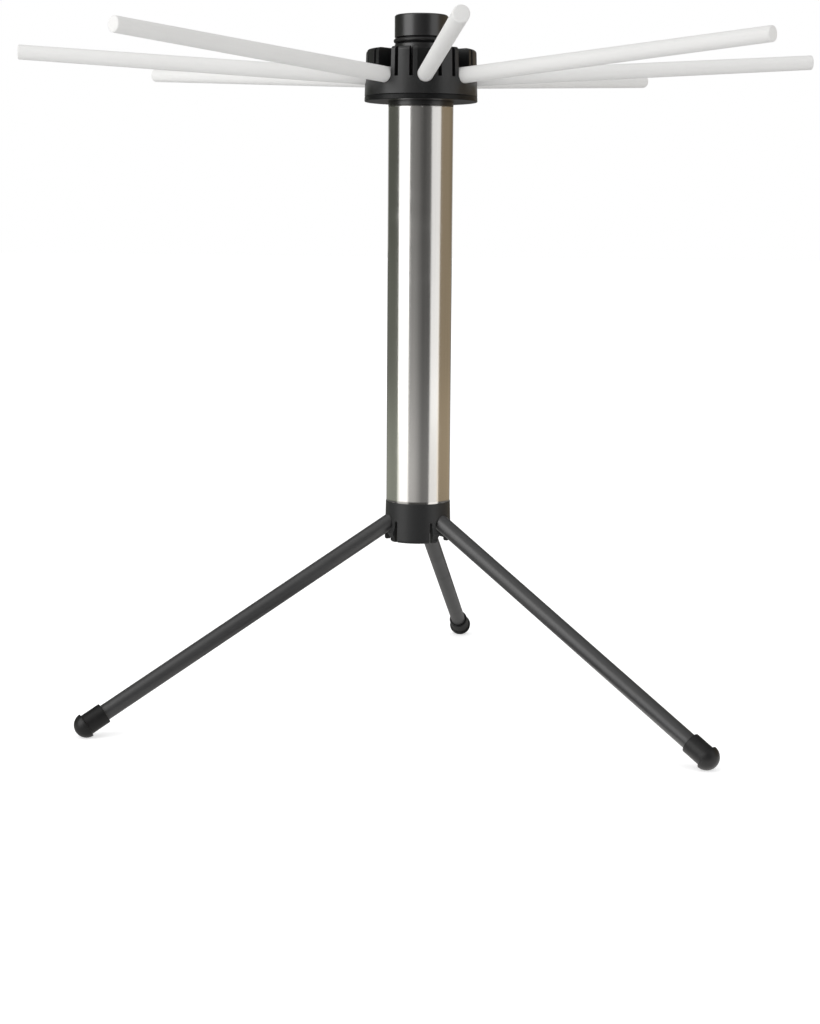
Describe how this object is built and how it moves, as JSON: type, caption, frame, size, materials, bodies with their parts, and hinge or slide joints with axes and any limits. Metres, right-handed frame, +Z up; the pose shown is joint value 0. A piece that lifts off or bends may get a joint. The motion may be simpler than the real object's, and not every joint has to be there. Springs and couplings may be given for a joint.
{
  "type": "pasta drying rack",
  "caption": "Collapsible tripod pasta drying rack: steel column, black lift-off hub with white folding arms, black folding legs with rubber feet.",
  "frame": {"origin": "on the column's axis, at the height of the surface that the feet stand on", "axes": "+Z up along the column, +Y towards the rear leg, the other two legs towards -Y"},
  "size_m": [0.51, 0.51, 0.4648],
  "materials": {
    "tube_steel": "brushed along its length",
    "collar_plastic": "fine satin moulding",
    "post_plastic": "satin moulding",
    "ring_rubber": "smooth",
    "hub_plastic": "fine satin moulding",
    "plate_plastic": "fine satin moulding",
    "arm_plastic": "satin, slightly warm white",
    "leg_coating": "matte black coating",
    "leg_head_plastic": "satin moulding",
    "pin_steel": "drawn steel",
    "foot_rubber": "matte moulded rubber"
  },
  "bodies": {
    "column": {"column_tube": "tube_steel", "leg_collar": "collar_plastic"},
    "head": {"head_post": "post_plastic", "post_o_ring": "ring_rubber"},
    "hub": {"hub_crown": "hub_plastic", "hub_base_plate": "plate_plastic"},
    "arm_1": {"arm_1": "arm_plastic"},
    "arm_2": {"arm_2": "arm_plastic"},
    "arm_3": {"arm_3": "arm_plastic"},
    "arm_4": {"arm_4": "arm_plastic"},
    "arm_5": {"arm_5": "arm_plastic"},
    "arm_6": {"arm_6": "arm_plastic"},
    "arm_7": {"arm_7": "arm_plastic"},
    "arm_8": {"arm_8": "arm_plastic"},
    "leg_1": {"leg_1_rod": "leg_coating", "leg_1_head": "leg_head_plastic", "leg_1_pin": "pin_steel", "foot_1": "foot_rubber"},
    "leg_2": {"leg_2_rod": "leg_coating", "leg_2_head": "leg_head_plastic", "leg_2_pin": "pin_steel", "foot_2": "foot_rubber"},
    "leg_3": {"leg_3_rod": "leg_coating", "leg_3_head": "leg_head_plastic", "leg_3_pin": "pin_steel", "foot_3": "foot_rubber"}
  },
  "joints": [
    {"name": "hub_turn", "type": "hinge", "parent": "column", "child": "head", "pos_m": [0, 0, 0.40686], "axis": [0, 0, 1], "continuous": true},
    {"name": "hub_lift", "type": "slide", "parent": "head", "child": "hub", "axis": [0, 0, 1], "range_m": [0, 0.06], "deforming": ["post_o_ring"]},
    {"name": "arm_1_fold", "type": "hinge", "parent": "hub", "child": "arm_1", "pos_m": [0.02676, 0.00633, 0.42466], "axis": [0.23, -0.9732, 0], "range_deg": [0, 86.7]},
    {"name": "arm_2_fold", "type": "hinge", "parent": "hub", "child": "arm_2", "pos_m": [0.01445, 0.0234, 0.42466], "axis": [0.8508, -0.5255, 0], "range_deg": [0, 86.7]},
    {"name": "arm_3_fold", "type": "hinge", "parent": "hub", "child": "arm_3", "pos_m": [-0.00633, 0.02676, 0.42466], "axis": [0.9732, 0.23, 0], "range_deg": [0, 86.7]},
    {"name": "arm_4_fold", "type": "hinge", "parent": "hub", "child": "arm_4", "pos_m": [-0.0234, 0.01445, 0.42466], "axis": [0.5255, 0.8508, 0], "range_deg": [0, 86.7]},
    {"name": "arm_5_fold", "type": "hinge", "parent": "hub", "child": "arm_5", "pos_m": [-0.02676, -0.00633, 0.42466], "axis": [-0.23, 0.9732, 0], "range_deg": [0, 86.7]},
    {"name": "arm_6_fold", "type": "hinge", "parent": "hub", "child": "arm_6", "pos_m": [-0.01445, -0.0234, 0.42466], "axis": [-0.8508, 0.5255, 0], "range_deg": [0, 86.7]},
    {"name": "arm_7_fold", "type": "hinge", "parent": "hub", "child": "arm_7", "pos_m": [0.00633, -0.02676, 0.42466], "axis": [-0.9732, -0.23, 0], "range_deg": [0, 86.7]},
    {"name": "arm_8_fold", "type": "hinge", "parent": "hub", "child": "arm_8", "pos_m": [0.0234, -0.01445, 0.42466], "axis": [-0.5255, -0.8508, 0], "range_deg": [0, 86.7]},
    {"name": "leg_1_fold", "type": "hinge", "parent": "column", "child": "leg_1", "pos_m": [0, 0.0111, 0.13646], "axis": [-1, 0, 0], "range_deg": [0, 59.5]},
    {"name": "leg_2_fold", "type": "hinge", "parent": "column", "child": "leg_2", "pos_m": [-0.00961, -0.00555, 0.13646], "axis": [0.5, -0.866, 0], "range_deg": [0, 59.5]},
    {"name": "leg_3_fold", "type": "hinge", "parent": "column", "child": "leg_3", "pos_m": [0.00961, -0.00555, 0.13646], "axis": [0.5, 0.866, 0], "range_deg": [0, 59.5]}
  ]
}
